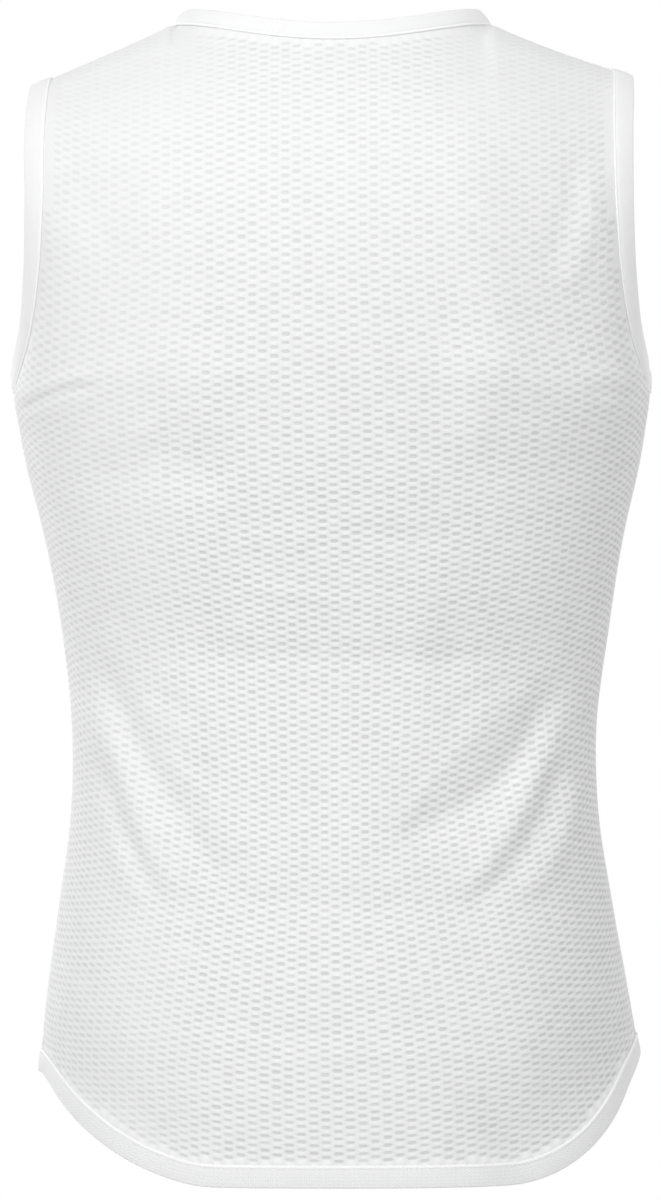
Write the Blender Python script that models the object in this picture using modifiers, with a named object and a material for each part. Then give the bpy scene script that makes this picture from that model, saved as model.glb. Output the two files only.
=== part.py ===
"""Sleeveless base layer of fine mesh knit, worn and filled out with nobody in it.

The body is two cut panels, back and front, joined at the side seams and on the shoulders. Bindings finish
the neck and both armholes, and a doubled band finishes the shirt-tail hem. Every piece is a thin wall.

Axes: +Z up, the back of the garment faces +Y, the wearer's left is +X. The origin lies between the
shoulders, level with the side neck points. Tables and sizes are in millimetres, and MM makes them metres.
"""

import math
from collections import namedtuple

import bpy
import numpy as np

MM = 0.001

# Cloth
PANEL_WALL = 1.2
BAND_WALL = 2.0
SEAM_GAP = 0.3
NECK_BAND_WIDTH = 10.0
ARMHOLE_BAND_WIDTH = 11.5
HEM_BAND_WIDTH = 11.5
BAND_CROWN = 0.5
BAND_BENDS = (0.15, 0.6, 1.0)
CORNER_CLEARANCE = 0.8
ARMHOLE_CLEARANCE = 0.15

# Neck and shoulders
NECK_HALF_WIDTH = 90.0
SIDE_NECK_Y = 5.0
SIDE_NECK_Z = 0.0
BACK_NECK_Y = 64.0
BACK_NECK_DIP = 11.5
FRONT_NECK_Y = -74.0
FRONT_NECK_DROP = 92.0
FRONT_NECK_V = 0.3
ABOVE_NECK = {"back": (0.0, -12.0, 34.0), "front": (0.0, 14.0, 34.0)}
SIDE_NECK_FOCUS = 20
SHOULDER_TIP = (159.5, 4.0, -27.5)
SHOULDER_FOOT = 1.5
SIDE_NECK_CURL = 5
SHOULDER_SHIFT = 0.0
SHOULDER_TILT = -0.9

# How far each column of points sits from the centre line: 0 there, 1 at the panel's edge
HALF_COLUMNS = 16
NECK_COLUMNS = 9
NECK_SHARE = NECK_COLUMNS / HALF_COLUMNS
SIDE_INTERVALS = 26
YOKE_INTERVALS = 18
TOP_STRIP = 3.0
CORNER_SHARPNESS = 8
SQUARENESS = 2.2
UNDERARM_SLOPE = 0.2
LEVEL_SHARE = 0.31
EVENING = 0.5
EVENING_PASSES = 4

# The body below the arms, from the hem seam up to the underarm. z and half_width place the side seam,
# and the y and z of each face place its centre line. shift leans the body, tilt rolls it in degrees, and
# sway moves the lowest part of the row towards the wearer's right.
SideRow = namedtuple("SideRow", "z half_width back_y back_z front_y front_z shift tilt sway")
SIDE_ROWS = [
    SideRow(-579, 169.0, 111, -641, -106, -632, -3.8, -1.6, 0.06),
    SideRow(-545, 164.4, 111, -582, -108, -576, -2.8, -0.8, 0.040),
    SideRow(-498, 157.0, 105, -513, -109, -510, -2.0, -0.3, 0.015),
    SideRow(-448, 150.0, 96, -456, -106, -455, -1.5, 0.0, 0.0),
    SideRow(-400, 149.0, 91, -404, -104, -403, -1.2, 0.0, 0.0),
    SideRow(-345, 155.2, 95, -347, -106, -346, -1.8, 0.0, 0.0),
    SideRow(-290, 164.6, 104, -291, -113, -290, -1.0, 0.0, 0.0),
    SideRow(-245, 175.3, 112, -245, -118, -244, -0.3, 0.0, 0.0),
    SideRow(-208, 181.0, 117, -206, -120, -206, 0.0, 0.0, 0.0),
]

# The body above the underarm, where each row ends on the armhole seam. wrap is how far the row turns
# towards the side before it ends, in degrees, and rise lifts it between its centre and its edge.
YokeRow = namedtuple(
    "YokeRow", "edge_x edge_y edge_z centre_y centre_z wrap rise shift tilt sway", defaults=(0.0,)
)
BACK_YOKE = [
    YokeRow(177.0, 25, -200, 118.5, -190, 78, 0, 0.4, 0.0),
    YokeRow(169.0, 48, -176, 119.0, -163, 66, 0, 0.8, 0.0),
    YokeRow(163.5, 62, -142, 117.5, -128, 54, 0, 1.2, 0.0),
    YokeRow(161.0, 66, -104, 110.0, -92, 45, 2, 1.6, 0.1),
    YokeRow(160.5, 54, -64, 93.0, -53, 40, 5, 1.8, 0.1),
]
FRONT_YOKE = [
    YokeRow(176.5, -25, -201, -119.8, -194, 78, 0, 0.4, 0.0),
    YokeRow(166.0, -51, -178, -117.5, -179, 65, 0, 0.8, 0.0),
    YokeRow(156.0, -66, -144, -112.0, -160, 54, 2, 1.2, 0.0),
    YokeRow(150.0, -68, -106, -103.0, -138, 46, 5, 1.6, 0.1),
    YokeRow(151.0, -54, -67, -90.0, -114, 42, 11, 1.8, 0.1),
]

# The largest folds. Each is a soft ridge, or a trough where height is negative, from a start to an end
# in the x and z of the face it is on, bowed sideways in the middle and fading out at both ends.
# They die away towards the side seams.
FOLD_FADE, FOLD_EDGE = 0.3, 12
Fold = namedtuple("Fold", "start_x start_z end_x end_z bow width height")
BACK_FOLDS = [
    Fold(135, -364, 60, -485, -3, 9, -3.4),
    Fold(131, -391, 93, -488, -1, 8, 2.1),
    Fold(131, -418, 96, -493, -3, 7, -2.3),
    Fold(128, -440, 108, -494, -2, 7, 1.3),
    Fold(-131, -376, -43, -458, 12.5, 11, -3.8),
    Fold(-129, -391, -81, -482, 4, 8.5, 3.2),
    Fold(-130, -421, -81, -494, 6, 7.5, -2.3),
    Fold(-137, -432, -108, -491, 6, 7, 2.0),
    Fold(120, -352, -120, -362, -8, 24, -1.8),
    Fold(96, -234, 60, -262, 4, 20, -1.6),
]
FRONT_FOLDS = [
    Fold(134, -370, 62, -474, -4, 11, -2.6),
    Fold(130, -396, 84, -484, -3, 9, 2.0),
    Fold(-134, -368, -56, -462, 9, 11, -3.0),
    Fold(-130, -392, -80, -480, 6, 9, 2.4),
    Fold(-126, -430, -86, -492, 5, 8, -1.8),
    Fold(112, -228, 66, -246, 6, 12, -2.0),
    Fold(-114, -226, -70, -248, -6, 12, -2.2),
]

# How much each band leans in towards the neck, and how much it stands up
NECK_LEAN_BACK, NECK_LEAN_SIDE, NECK_LEAN_FRONT = 0.30, 0.86, 0.46

Finish = namedtuple("Finish", "colour roughness")
MESH_KNIT = Finish((0.90, 0.90, 0.90), 0.62)
SMOOTH_KNIT = Finish((0.92, 0.92, 0.92), 0.55)


def smooth(share):
    """Eases from 0 to 1 as share does."""
    share = np.clip(share, 0.0, 1.0)
    return share * share * (3.0 - 2.0 * share)


def unit(vectors):
    return vectors / np.linalg.norm(vectors, axis=-1, keepdims=True)


def round_section(angle):
    """The side and the depth of a body section at this angle from its centre line, each 1 at most."""
    side, depth = np.sin(angle), np.cos(angle)
    radius = (np.abs(side) ** SQUARENESS + np.abs(depth) ** SQUARENESS) ** (-1.0 / SQUARENESS)
    return radius * side, radius * depth


def leaned(points, u, shift, tilt):
    """The row of points with the lean of the body at its height, which rolls mostly its sides."""
    points = points + np.array([shift, 0.0, 0.0])
    points[:, 2] += points[:, 0] * np.abs(u) ** 3 * math.tan(math.radians(tilt))
    return points


def row_points(row, u):
    """One section across a panel, from edge to edge."""
    side, depth = round_section(np.radians(row.wrap) * u)
    side_end, depth_end = round_section(math.radians(row.wrap))
    off_lowest = np.abs(u + row.sway * (1.0 - u * u))
    fall = smooth((off_lowest - LEVEL_SHARE) / (1.0 - LEVEL_SHARE))
    x = row.edge_x * side / side_end
    y = row.edge_y + (row.centre_y - row.edge_y) * (depth - depth_end) / (1.0 - depth_end)
    z = row.centre_z + (row.edge_z - row.centre_z) * fall + row.rise * np.sin(math.pi * np.abs(u))
    return leaned(np.stack([x, y, z], axis=1), u, row.shift, row.tilt)


def neck_point(face, turn):
    """The neck seam of one face, with turn 0 at its centre and 90 degrees at the side neck point."""
    ahead = np.cos(turn)
    x = NECK_HALF_WIDTH * np.sin(turn)
    if face == "back":
        y = SIDE_NECK_Y + (BACK_NECK_Y - SIDE_NECK_Y) * ahead
        z = SIDE_NECK_Z - BACK_NECK_DIP * ahead**3
    else:
        rolled = FRONT_NECK_V * ahead + (1.0 - FRONT_NECK_V) * np.sin(0.5 * math.pi * ahead)
        dropped = FRONT_NECK_V * ahead + (1.0 - FRONT_NECK_V) * (1.0 - np.cos(0.5 * math.pi * ahead))
        y = SIDE_NECK_Y + (FRONT_NECK_Y - SIDE_NECK_Y) * rolled
        z = SIDE_NECK_Z - FRONT_NECK_DROP * dropped
    return x, y, z


def top_points(face, u):
    """The panel's top row: the neck seam in the middle and a shoulder seam on each side."""
    far = np.abs(u)
    neck = np.stack(neck_point(face, 0.5 * math.pi * np.minimum(far / NECK_SHARE, 1.0)), axis=1)
    along = np.clip((far - NECK_SHARE) / (1.0 - NECK_SHARE), 0.0, 1.0)[:, None]
    foot = np.array([NECK_HALF_WIDTH, SIDE_NECK_Y, SIDE_NECK_Z - SHOULDER_FOOT])
    shoulder = foot + (np.array(SHOULDER_TIP) - foot) * along
    shoulder[:, 2] += SHOULDER_FOOT * (1.0 - along[:, 0]) ** SIDE_NECK_CURL
    points = np.where(far[:, None] <= NECK_SHARE, neck, shoulder)
    points[:, 0] *= np.sign(u)
    return leaned(points, u, SHOULDER_SHIFT, SHOULDER_TILT)


def sections(face):
    """The rows of one face below its top row, from the hem seam upwards."""
    rows = [
        YokeRow(side.half_width, 0, side.z, *centre, 90, 0, side.shift, side.tilt, side.sway)
        for side in SIDE_ROWS
        for centre in [(side.back_y, side.back_z) if face == "back" else (side.front_y, side.front_z)]
    ]
    return rows + (BACK_YOKE if face == "back" else FRONT_YOKE)


def past_top(face, u, top):
    """Where the cloth would go on above its top row: over the shoulder to the other face, up at the neck."""
    over = row_points(sections("front" if face == "back" else "back")[-1], u)
    up = top + np.array(ABOVE_NECK[face])
    share = (np.minimum(np.abs(u) / NECK_SHARE, 1.0) ** CORNER_SHARPNESS)[:, None]
    return up + (over - up) * share


def fold_height(folds, x, z):
    """How far the folds lift the cloth at each point, in millimetres."""
    height = np.zeros_like(x)
    for fold in folds:
        run_x, run_z = fold.end_x - fold.start_x, fold.end_z - fold.start_z
        length = math.hypot(run_x, run_z)
        along = ((x - fold.start_x) * run_x + (z - fold.start_z) * run_z) / length**2
        across = ((x - fold.start_x) * run_z - (z - fold.start_z) * run_x) / length
        across = across - fold.bow * np.sin(math.pi * np.clip(along, 0.0, 1.0))
        ends = smooth(along / FOLD_FADE + 0.5) * smooth((1.0 - along) / FOLD_FADE + 0.5)
        height += fold.height * ends * np.exp(-((across / fold.width) ** 2))
    return height


def normals_of(grid, face):
    """The way out of the garment at each point of a panel's grid."""
    facing = np.cross(np.gradient(grid, axis=1), np.gradient(grid, axis=0))
    return unit(facing) * (-1.0 if face == "back" else 1.0)


def panel_grid(face):
    """The points of one panel, [row, column], on the middle of its cloth."""
    u = np.linspace(-1.0, 1.0, 2 * HALF_COLUMNS + 1)
    rows = [row_points(row, u) for row in sections(face)]
    top = top_points(face, u)
    rows = np.array(rows + [top, past_top(face, u, top)])
    underarm = len(SIDE_ROWS) - 1

    # A smooth curve up each column, timed by the distance along the panel's edge
    edge_steps = np.linalg.norm(np.diff(rows[:, -1], axis=0), axis=1)
    edge_steps[-1] = edge_steps[-2]
    times = np.concatenate([[0.0], np.cumsum(edge_steps)])
    steps = np.diff(times)[:, None, None]
    speeds = np.diff(rows, axis=0) / steps
    middle = (speeds[:-1] * steps[1:] + speeds[1:] * steps[:-1]) / (steps[:-1] + steps[1:])
    into = np.concatenate([speeds[:1], middle])
    out_of = into.copy()
    corner = (np.abs(u) ** CORNER_SHARPNESS)[:, None]
    into[underarm] += (speeds[underarm - 1] - into[underarm]) * corner
    along_armhole = speeds[underarm] * np.array([1.0, 1.0, UNDERARM_SLOPE])
    out_of[underarm] += (along_armhole - out_of[underarm]) * corner

    # The last row lies close below the top one, so that the wall meets the other pieces squarely there
    below = np.linspace(times[0], times[underarm], SIDE_INTERVALS + 1)[:-1]
    above = np.linspace(times[underarm], times[-2], YOKE_INTERVALS)
    above = np.insert(above, -1, times[-2] - TOP_STRIP)
    grid = []
    for time in np.concatenate([below, above]):
        k = min(int(np.searchsorted(times, time, side="right")) - 1, len(times) - 3)
        step = times[k + 1] - times[k]
        t = (time - times[k]) / step
        grid.append(
            (2 * t**3 - 3 * t**2 + 1) * rows[k]
            + (t**3 - 2 * t**2 + t) * step * out_of[k]
            + (3 * t**2 - 2 * t**3) * rows[k + 1]
            + (t**3 - t**2) * step * into[k + 1]
        )
    grid = np.array(grid)

    # Cloth rounds off what turns sharply from row to row; its edges stay where they are
    ease = EVENING * (1.0 - np.abs(u) ** CORNER_SHARPNESS)[:, None]
    for _ in range(EVENING_PASSES):
        grid[1:-3] += ease * (0.5 * (grid[:-4] + grid[2:-2]) - grid[1:-3])

    folds = BACK_FOLDS if face == "back" else FRONT_FOLDS
    height = fold_height(folds, grid[..., 0], grid[..., 2]) * (1.0 - u**FOLD_EDGE)
    return grid + normals_of(grid, face) * height[..., None]


def shell(name, points, faces, wall, finish):
    """A named wall of cloth of even thickness, half to each side of these points."""
    mesh = bpy.data.meshes.new(name)
    mesh.from_pydata([tuple(p) for p in np.asarray(points) * MM], [], faces)
    mesh.validate()
    mesh.update()
    mesh.shade_smooth()
    piece = bpy.data.objects.new(name, mesh)
    bpy.data.collections["base_layer"].objects.link(piece)
    solid = piece.modifiers.new("cloth wall", "SOLIDIFY")
    solid.thickness = wall * MM
    solid.offset = 0.0
    material = bpy.data.materials.new(name)
    material.use_nodes = True
    shader = material.node_tree.nodes["Principled BSDF"]
    shader.inputs["Base Color"].default_value = (*finish.colour, 1.0)
    shader.inputs["Roughness"].default_value = finish.roughness
    shader.inputs["Metallic"].default_value = 0.0
    mesh.materials.append(material)
    return piece


def quads(rows, columns, closed=False, flip=False):
    """The faces of a grid of points stored row by row, joined round its columns where it is closed.

    Their diagonals run down and inwards on both halves, as the folds do."""
    faces = []
    for r in range(rows - 1):
        for c in range(columns if closed else columns - 1):
            d = (c + 1) % columns
            face = [r * columns + c, r * columns + d, (r + 1) * columns + d, (r + 1) * columns + c]
            if (c < columns // 2) != flip:
                face = face[1:] + face[:1]
            faces.append(face[::-1] if flip else face)
    return faces


def make_panel(name, face, grid):
    """One cut panel, its side and shoulder edges drawn in by half of the seam gap."""
    cut = grid.copy()
    half_gap = 0.5 * SEAM_GAP
    side_rows = slice(0, SIDE_INTERVALS + 1)
    for edge, inner in ((0, 1), (-1, -2)):
        cut[side_rows, edge] += unit(grid[side_rows, inner] - grid[side_rows, edge]) * half_gap
        shoulder = slice(0, HALF_COLUMNS - NECK_COLUMNS + 1)
        if edge == -1:
            shoulder = slice(HALF_COLUMNS + NECK_COLUMNS, 2 * HALF_COLUMNS + 1)
        cut[-1, shoulder] += unit(grid[-2, shoulder] - grid[-1, shoulder]) * half_gap
    rows, columns = cut.shape[:2]
    faces = quads(rows, columns, flip=face == "back")
    return shell(name, cut.reshape(-1, 3), faces, PANEL_WALL, MESH_KNIT)


def loop_direction(loop):
    """The direction along a closed loop at each of its points."""
    return unit(np.roll(loop, -1, axis=0) - np.roll(loop, 1, axis=0))


def eased(vectors, times=2):
    """Unit vectors round a loop, evened out with their neighbours."""
    for _ in range(times):
        vectors = unit(np.roll(vectors, 1, axis=0) + 2.0 * vectors + np.roll(vectors, -1, axis=0))
    return vectors


def seam_loop(back, front, rows, columns):
    """The points of a closed seam that runs along the back panel and returns along the front."""
    return np.concatenate([back[rows, columns], front[rows, columns][::-1][1:-1]])


def make_band(name, seam, facing, width, lean_to=None, clearance=0.0, flip=False):
    """A closed strip that carries on from a seam, bending towards lean_to where that is given."""
    away = unit(np.cross(facing, loop_direction(seam))) * (-1.0 if flip else 1.0)
    lean_to = eased(away) if lean_to is None else lean_to
    ring = seam + away * (SEAM_GAP + clearance)
    rings = [ring]
    for bend in BAND_BENDS:
        ring = ring + unit(away + (lean_to - away) * bend) * width / len(BAND_BENDS)
        rings.append(ring)
    rings = [
        ring + facing * BAND_CROWN * math.sin(math.pi * share)
        for ring, share in zip(rings, np.linspace(0.0, 1.0, len(rings)))
    ]
    faces = quads(len(rings), len(seam), closed=True, flip=flip)
    return shell(name, np.concatenate(rings), faces, BAND_WALL, SMOOTH_KNIT)


def make_neck_binding(back, front):
    """The neck binding, which stands up from the seam and leans in a little."""
    inner = slice(HALF_COLUMNS - NECK_COLUMNS, HALF_COLUMNS + NECK_COLUMNS + 1)
    seam = seam_loop(back, front, -1, inner)
    facing = seam_loop(normals_of(back, "back"), normals_of(front, "front"), -1, inner)
    for corner in (0, 2 * NECK_COLUMNS):
        facing[corner] = unit(facing[corner - 1] + facing[corner + 1])
    count = len(seam)
    turn = np.arange(count) / count * 2.0 * math.pi - 0.5 * math.pi
    inward = np.array([SHOULDER_SHIFT, 0.0, 0.0]) - seam
    inward[:, 2] = 0.0
    face_lean = np.where(np.cos(turn) >= 0.0, NECK_LEAN_BACK, NECK_LEAN_FRONT)
    lean = face_lean + (NECK_LEAN_SIDE - face_lean) * np.sin(turn) ** 2
    lean_to = eased(unit(unit(inward) * lean[:, None] + np.array([0.0, 0.0, 1.0])))
    clearance = CORNER_CLEARANCE * (np.sin(turn) ** SIDE_NECK_FOCUS)[:, None]
    return make_band("neck_binding", seam, facing, NECK_BAND_WIDTH, lean_to, clearance, flip=True)


def make_armhole_binding(name, column, back, front):
    """The binding round one armhole, carried on from the edges of both panels."""
    yoke = slice(SIDE_INTERVALS, SIDE_INTERVALS + YOKE_INTERVALS + 1)
    seam = seam_loop(back, front, yoke, column)
    facing = seam_loop(normals_of(back, "back"), normals_of(front, "front"), yoke, column)
    clearance = ARMHOLE_CLEARANCE
    return make_band(name, seam, facing, ARMHOLE_BAND_WIDTH, clearance=clearance, flip=column == 0)


def make_hem_band(back, front):
    """The doubled hem, one closed strip below both panels."""
    around = slice(0, 2 * HALF_COLUMNS + 1)
    seam = seam_loop(back, front, 0, around)
    facing = seam_loop(normals_of(back, "back"), normals_of(front, "front"), 0, around)
    return make_band("hem_band", seam, facing, HEM_BAND_WIDTH)


def clear_scene():
    for old in list(bpy.data.objects):
        bpy.data.objects.remove(old, do_unlink=True)


def main():
    clear_scene()
    garment = bpy.data.collections.new("base_layer")
    bpy.context.scene.collection.children.link(garment)
    back, front = panel_grid("back"), panel_grid("front")
    make_panel("back_panel", "back", back)
    make_panel("front_panel", "front", front)
    make_neck_binding(back, front)
    make_armhole_binding("armhole_binding_left", -1, back, front)
    make_armhole_binding("armhole_binding_right", 0, back, front)
    make_hem_band(back, front)


main()
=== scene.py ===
# %% [markdown]
# # A sleeveless base layer of mesh knit
#
# The real garment is two panels of stretchy mesh knit, a back and a front, sewn together down the sides and
# over the shoulders. A folded strip of smooth knit binds the neck and each armhole, and a doubled band
# finishes the shirt-tail hem. It is shown worn and filled out, with nobody in it, so we see the cloth alone.
#
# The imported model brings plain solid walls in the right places. This lesson puts real cloth on each of them:
# a net of small eyelets, folded bindings, raised seams and the finish of white polyester yarn.

# %% Load the frame
import math
from collections import namedtuple

import bpy
import numpy as np
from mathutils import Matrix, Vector
from mathutils.bvhtree import BVHTree
from mathutils.geometry import delaunay_2d_cdt


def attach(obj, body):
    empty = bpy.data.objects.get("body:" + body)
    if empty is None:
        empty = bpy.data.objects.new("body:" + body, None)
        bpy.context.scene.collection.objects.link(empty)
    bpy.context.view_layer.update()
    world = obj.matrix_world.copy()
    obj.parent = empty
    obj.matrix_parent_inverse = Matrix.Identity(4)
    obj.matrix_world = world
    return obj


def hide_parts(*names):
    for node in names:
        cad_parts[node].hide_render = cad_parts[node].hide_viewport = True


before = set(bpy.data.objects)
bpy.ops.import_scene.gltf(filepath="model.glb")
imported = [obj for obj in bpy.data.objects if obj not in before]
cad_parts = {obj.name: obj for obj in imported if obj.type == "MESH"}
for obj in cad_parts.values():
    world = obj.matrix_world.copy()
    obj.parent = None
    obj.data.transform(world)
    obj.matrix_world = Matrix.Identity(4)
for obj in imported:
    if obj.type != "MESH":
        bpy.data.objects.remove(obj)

MM = 0.001
scene = bpy.context.scene
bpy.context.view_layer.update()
print("solids:", sorted(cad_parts))

# %% [markdown]
# ## The camera
#
# The picture looks straight at the garment's back from about 4 m away, level with its middle. A long lens
# keeps the sides from spreading. The camera is made first, so that every later step can be looked at.

# %% The camera
CAMERA_PLACE = (0.000855, 4.0, -0.3266)
PICTURE_HEIGHT = 1200 * 0.57 * MM
lens = bpy.data.cameras.new("camera")
lens.sensor_fit = "VERTICAL"
lens.sensor_height = 24.0
lens.lens = 24.0 * CAMERA_PLACE[1] / PICTURE_HEIGHT
camera = bpy.data.objects.new("camera", lens)
camera.location = CAMERA_PLACE
camera.rotation_euler = (math.pi / 2, 0.0, math.pi)
scene.collection.objects.link(camera)
scene.camera = camera
print("lens:", round(lens.lens, 1), "mm")

# %% [markdown]
# ## The form of the cloth
#
# Cloth on a body could be simulated, but a fitted garment is easier to hold to its sizes with sections. Each
# row of the tables below is one section across a panel, from the hem up. Smooth curves join the sections up
# each column. The same tables shape the solids, so the cloth lies right on them. All sizes here are in
# millimetres, and MM turns them into metres when a mesh is made.

# %% Sizes of the cut
NECK_HALF_WIDTH, SIDE_NECK_Y, BACK_NECK_Y, FRONT_NECK_Y = 90.0, 5.0, 64.0, -74.0
BACK_NECK_DIP, FRONT_NECK_DROP, FRONT_NECK_V = 11.5, 92.0, 0.3
ABOVE_NECK = {"back": (0.0, -12.0, 34.0), "front": (0.0, 14.0, 34.0)}
SHOULDER_TIP, SHOULDER_FOOT, SIDE_NECK_CURL = (159.5, 4.0, -27.5), 1.5, 5
SHOULDER_TILT = -0.9
SQUARENESS, UNDERARM_SLOPE, LEVEL_SHARE, CORNER_SHARPNESS = 2.2, 0.2, 0.31, 8
HALF_COLUMNS, NECK_COLUMNS, SIDE_INTERVALS, YOKE_INTERVALS = 16, 9, 26, 17
NECK_SHARE = NECK_COLUMNS / HALF_COLUMNS
DENSITY = 4
EVENING, EVENING_PASSES = 0.5, 4
SEAM_GAP, BAND_BENDS, BAND_CROWN = 0.3, (0.15, 0.6, 1.0), 0.5

SideRow = namedtuple("SideRow", "z half_width back_y back_z front_y front_z shift tilt sway")
SIDE_ROWS = [SideRow(*row) for row in (
    (-579, 169.0, 111, -641, -106, -632, -3.8, -1.6, 0.06),
    (-545, 164.4, 111, -582, -108, -576, -2.8, -0.8, 0.040),
    (-498, 157.0, 105, -513, -109, -510, -2.0, -0.3, 0.015),
    (-448, 150.0, 96, -456, -106, -455, -1.5, 0.0, 0.0),
    (-400, 149.0, 91, -404, -104, -403, -1.2, 0.0, 0.0),
    (-345, 155.2, 95, -347, -106, -346, -1.8, 0.0, 0.0),
    (-290, 164.6, 104, -291, -113, -290, -1.0, 0.0, 0.0),
    (-245, 175.3, 112, -245, -118, -244, -0.3, 0.0, 0.0),
    (-208, 181.0, 117, -206, -120, -206, 0.0, 0.0, 0.0),
)]

YokeRow = namedtuple(
    "YokeRow", "edge_x edge_y edge_z centre_y centre_z wrap rise shift tilt sway", defaults=(0.0,)
)
BACK_YOKE = [YokeRow(*row) for row in (
    (177.0, 25, -200, 118.5, -190, 78, 0, 0.4, 0.0),
    (169.0, 48, -176, 119.0, -163, 66, 0, 0.8, 0.0),
    (163.5, 62, -142, 117.5, -128, 54, 0, 1.2, 0.0),
    (161.0, 66, -104, 110.0, -92, 45, 2, 1.6, 0.1),
    (160.5, 54, -64, 93.0, -53, 40, 5, 1.8, 0.1),
)]
FRONT_YOKE = [YokeRow(*row) for row in (
    (176.5, -25, -201, -119.8, -194, 78, 0, 0.4, 0.0),
    (166.0, -51, -178, -117.5, -179, 65, 0, 0.8, 0.0),
    (156.0, -66, -144, -112.0, -160, 54, 2, 1.2, 0.0),
    (150.0, -68, -106, -103.0, -138, 46, 5, 1.6, 0.1),
    (151.0, -54, -67, -90.0, -114, 42, 11, 1.8, 0.1),
)]
print(len(SIDE_ROWS), "body sections,", len(BACK_YOKE) + len(FRONT_YOKE), "yoke sections")


# %% Curves that the sections are made of
def smooth(share):
    """Eases from 0 to 1 as share does."""
    share = np.clip(share, 0.0, 1.0)
    return share * share * (3.0 - 2.0 * share)


def unit(vectors):
    return vectors / np.linalg.norm(vectors, axis=-1, keepdims=True)


def round_section(angle):
    """The side and the depth of a body section at this angle from its centre line, each 1 at most."""
    side, depth = np.sin(angle), np.cos(angle)
    radius = (np.abs(side) ** SQUARENESS + np.abs(depth) ** SQUARENESS) ** (-1.0 / SQUARENESS)
    return radius * side, radius * depth


def leaned(points, u, shift, tilt):
    """The row of points with the lean of the body at its height, which rolls mostly its sides."""
    points = points + np.array([shift, 0.0, 0.0])
    points[:, 2] += points[:, 0] * np.abs(u) ** 3 * math.tan(math.radians(tilt))
    return points


def row_points(row, u):
    """One section across a panel, from edge to edge."""
    side, depth = round_section(np.radians(row.wrap) * u)
    side_end, depth_end = round_section(math.radians(row.wrap))
    off_lowest = np.abs(u + row.sway * (1.0 - u * u))
    fall = smooth((off_lowest - LEVEL_SHARE) / (1.0 - LEVEL_SHARE))
    x = row.edge_x * side / side_end
    y = row.edge_y + (row.centre_y - row.edge_y) * (depth - depth_end) / (1.0 - depth_end)
    z = row.centre_z + (row.edge_z - row.centre_z) * fall + row.rise * np.sin(math.pi * np.abs(u))
    return leaned(np.stack([x, y, z], axis=1), u, row.shift, row.tilt)


def top_points(face, u):
    """The panel's top row: the neck seam in the middle and a shoulder seam on each side."""
    far = np.abs(u)
    turn = 0.5 * math.pi * np.minimum(far / NECK_SHARE, 1.0)
    ahead = np.cos(turn)
    if face == "back":
        y = SIDE_NECK_Y + (BACK_NECK_Y - SIDE_NECK_Y) * ahead
        z = -BACK_NECK_DIP * ahead**3
    else:
        rolled = FRONT_NECK_V * ahead + (1.0 - FRONT_NECK_V) * np.sin(0.5 * math.pi * ahead)
        dropped = FRONT_NECK_V * ahead + (1.0 - FRONT_NECK_V) * (1.0 - np.cos(0.5 * math.pi * ahead))
        y = SIDE_NECK_Y + (FRONT_NECK_Y - SIDE_NECK_Y) * rolled
        z = -FRONT_NECK_DROP * dropped
    neck = np.stack([NECK_HALF_WIDTH * np.sin(turn), y, z], axis=1)
    along = np.clip((far - NECK_SHARE) / (1.0 - NECK_SHARE), 0.0, 1.0)[:, None]
    foot = np.array([NECK_HALF_WIDTH, SIDE_NECK_Y, -SHOULDER_FOOT])
    shoulder = foot + (np.array(SHOULDER_TIP) - foot) * along
    shoulder[:, 2] += SHOULDER_FOOT * (1.0 - along[:, 0]) ** SIDE_NECK_CURL
    points = np.where(far[:, None] <= NECK_SHARE, neck, shoulder)
    points[:, 0] *= np.sign(u)
    return leaned(points, u, 0.0, SHOULDER_TILT)


def sections(face):
    """The rows of one face below its top row, from the hem seam upwards."""
    rows = [
        YokeRow(side.half_width, 0, side.z, *centre, 90, 0, side.shift, side.tilt, side.sway)
        for side in SIDE_ROWS
        for centre in [(side.back_y, side.back_z) if face == "back" else (side.front_y, side.front_z)]
    ]
    return rows + (BACK_YOKE if face == "back" else FRONT_YOKE)


# %% One smooth surface from the sections
def past_top(face, u, top):
    """Where the cloth would go on above its top row: over the shoulder to the other face, up at the neck."""
    over = row_points(sections("front" if face == "back" else "back")[-1], u)
    up = top + np.array(ABOVE_NECK[face])
    share = (np.minimum(np.abs(u) / NECK_SHARE, 1.0) ** CORNER_SHARPNESS)[:, None]
    return up + (over - up) * share


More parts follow.
